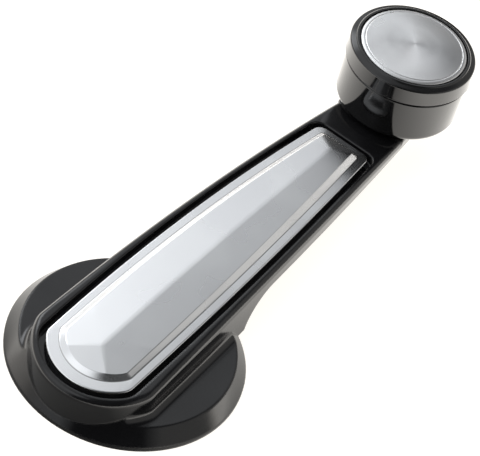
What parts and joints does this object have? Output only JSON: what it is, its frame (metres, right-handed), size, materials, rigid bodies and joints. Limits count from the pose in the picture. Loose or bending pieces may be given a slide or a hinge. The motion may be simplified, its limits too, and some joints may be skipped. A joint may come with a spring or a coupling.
{
  "type": "window winder handle",
  "caption": "Black crank handle for a car's window winder, with a round hub cover, a crowned arm, a bright trim plate and a free turning round knob.",
  "frame": {"origin": "on the hub axis, in the plane of the hub cover's foot and of the mouth of the shaft socket", "axes": "+Z away from the door along the hub axis, +X from the hub axis to the knob axis"},
  "size_m": [0.1414, 0.0522, 0.0303],
  "materials": {
    "black_enamel": "gloss black stoved enamel on a zinc die casting",
    "zinc_plated_steel": "zinc plated",
    "spring_steel": "hardened and oiled",
    "bright_aluminium": "bright rolled and clear anodised",
    "adhesive_film": "dull film",
    "carrier_plastic": "as moulded",
    "sleeve_plastic": "as moulded",
    "bush_plastic": "as moulded",
    "grey_black_plastic": "smooth, lightly polished"
  },
  "bodies": {
    "handle": {"handle_body": "black_enamel", "hub_insert": "zinc_plated_steel", "retaining_screw": "zinc_plated_steel", "screw_spring_washer": "zinc_plated_steel", "screw_washer": "zinc_plated_steel", "trim_plate": "bright_aluminium", "trim_film": "adhesive_film", "trim_carrier": "carrier_plastic", "trim_sleeves": "sleeve_plastic", "knob_spindle": "zinc_plated_steel", "rivet_washer": "zinc_plated_steel", "thrust_washer": "bush_plastic", "spring_dish": "spring_steel", "stop_washer": "zinc_plated_steel", "push_nut": "spring_steel"},
    "knob": {"knob_cup": "grey_black_plastic", "knob_cap": "grey_black_plastic", "knob_bush": "bush_plastic", "disc_film": "adhesive_film", "knob_disc": "bright_aluminium"}
  },
  "joints": [
    {"name": "knob_spin", "type": "hinge", "parent": "handle", "child": "knob", "pos_m": [0.1, 0, 0.019], "axis": [0, 0, 1], "continuous": true}
  ]
}
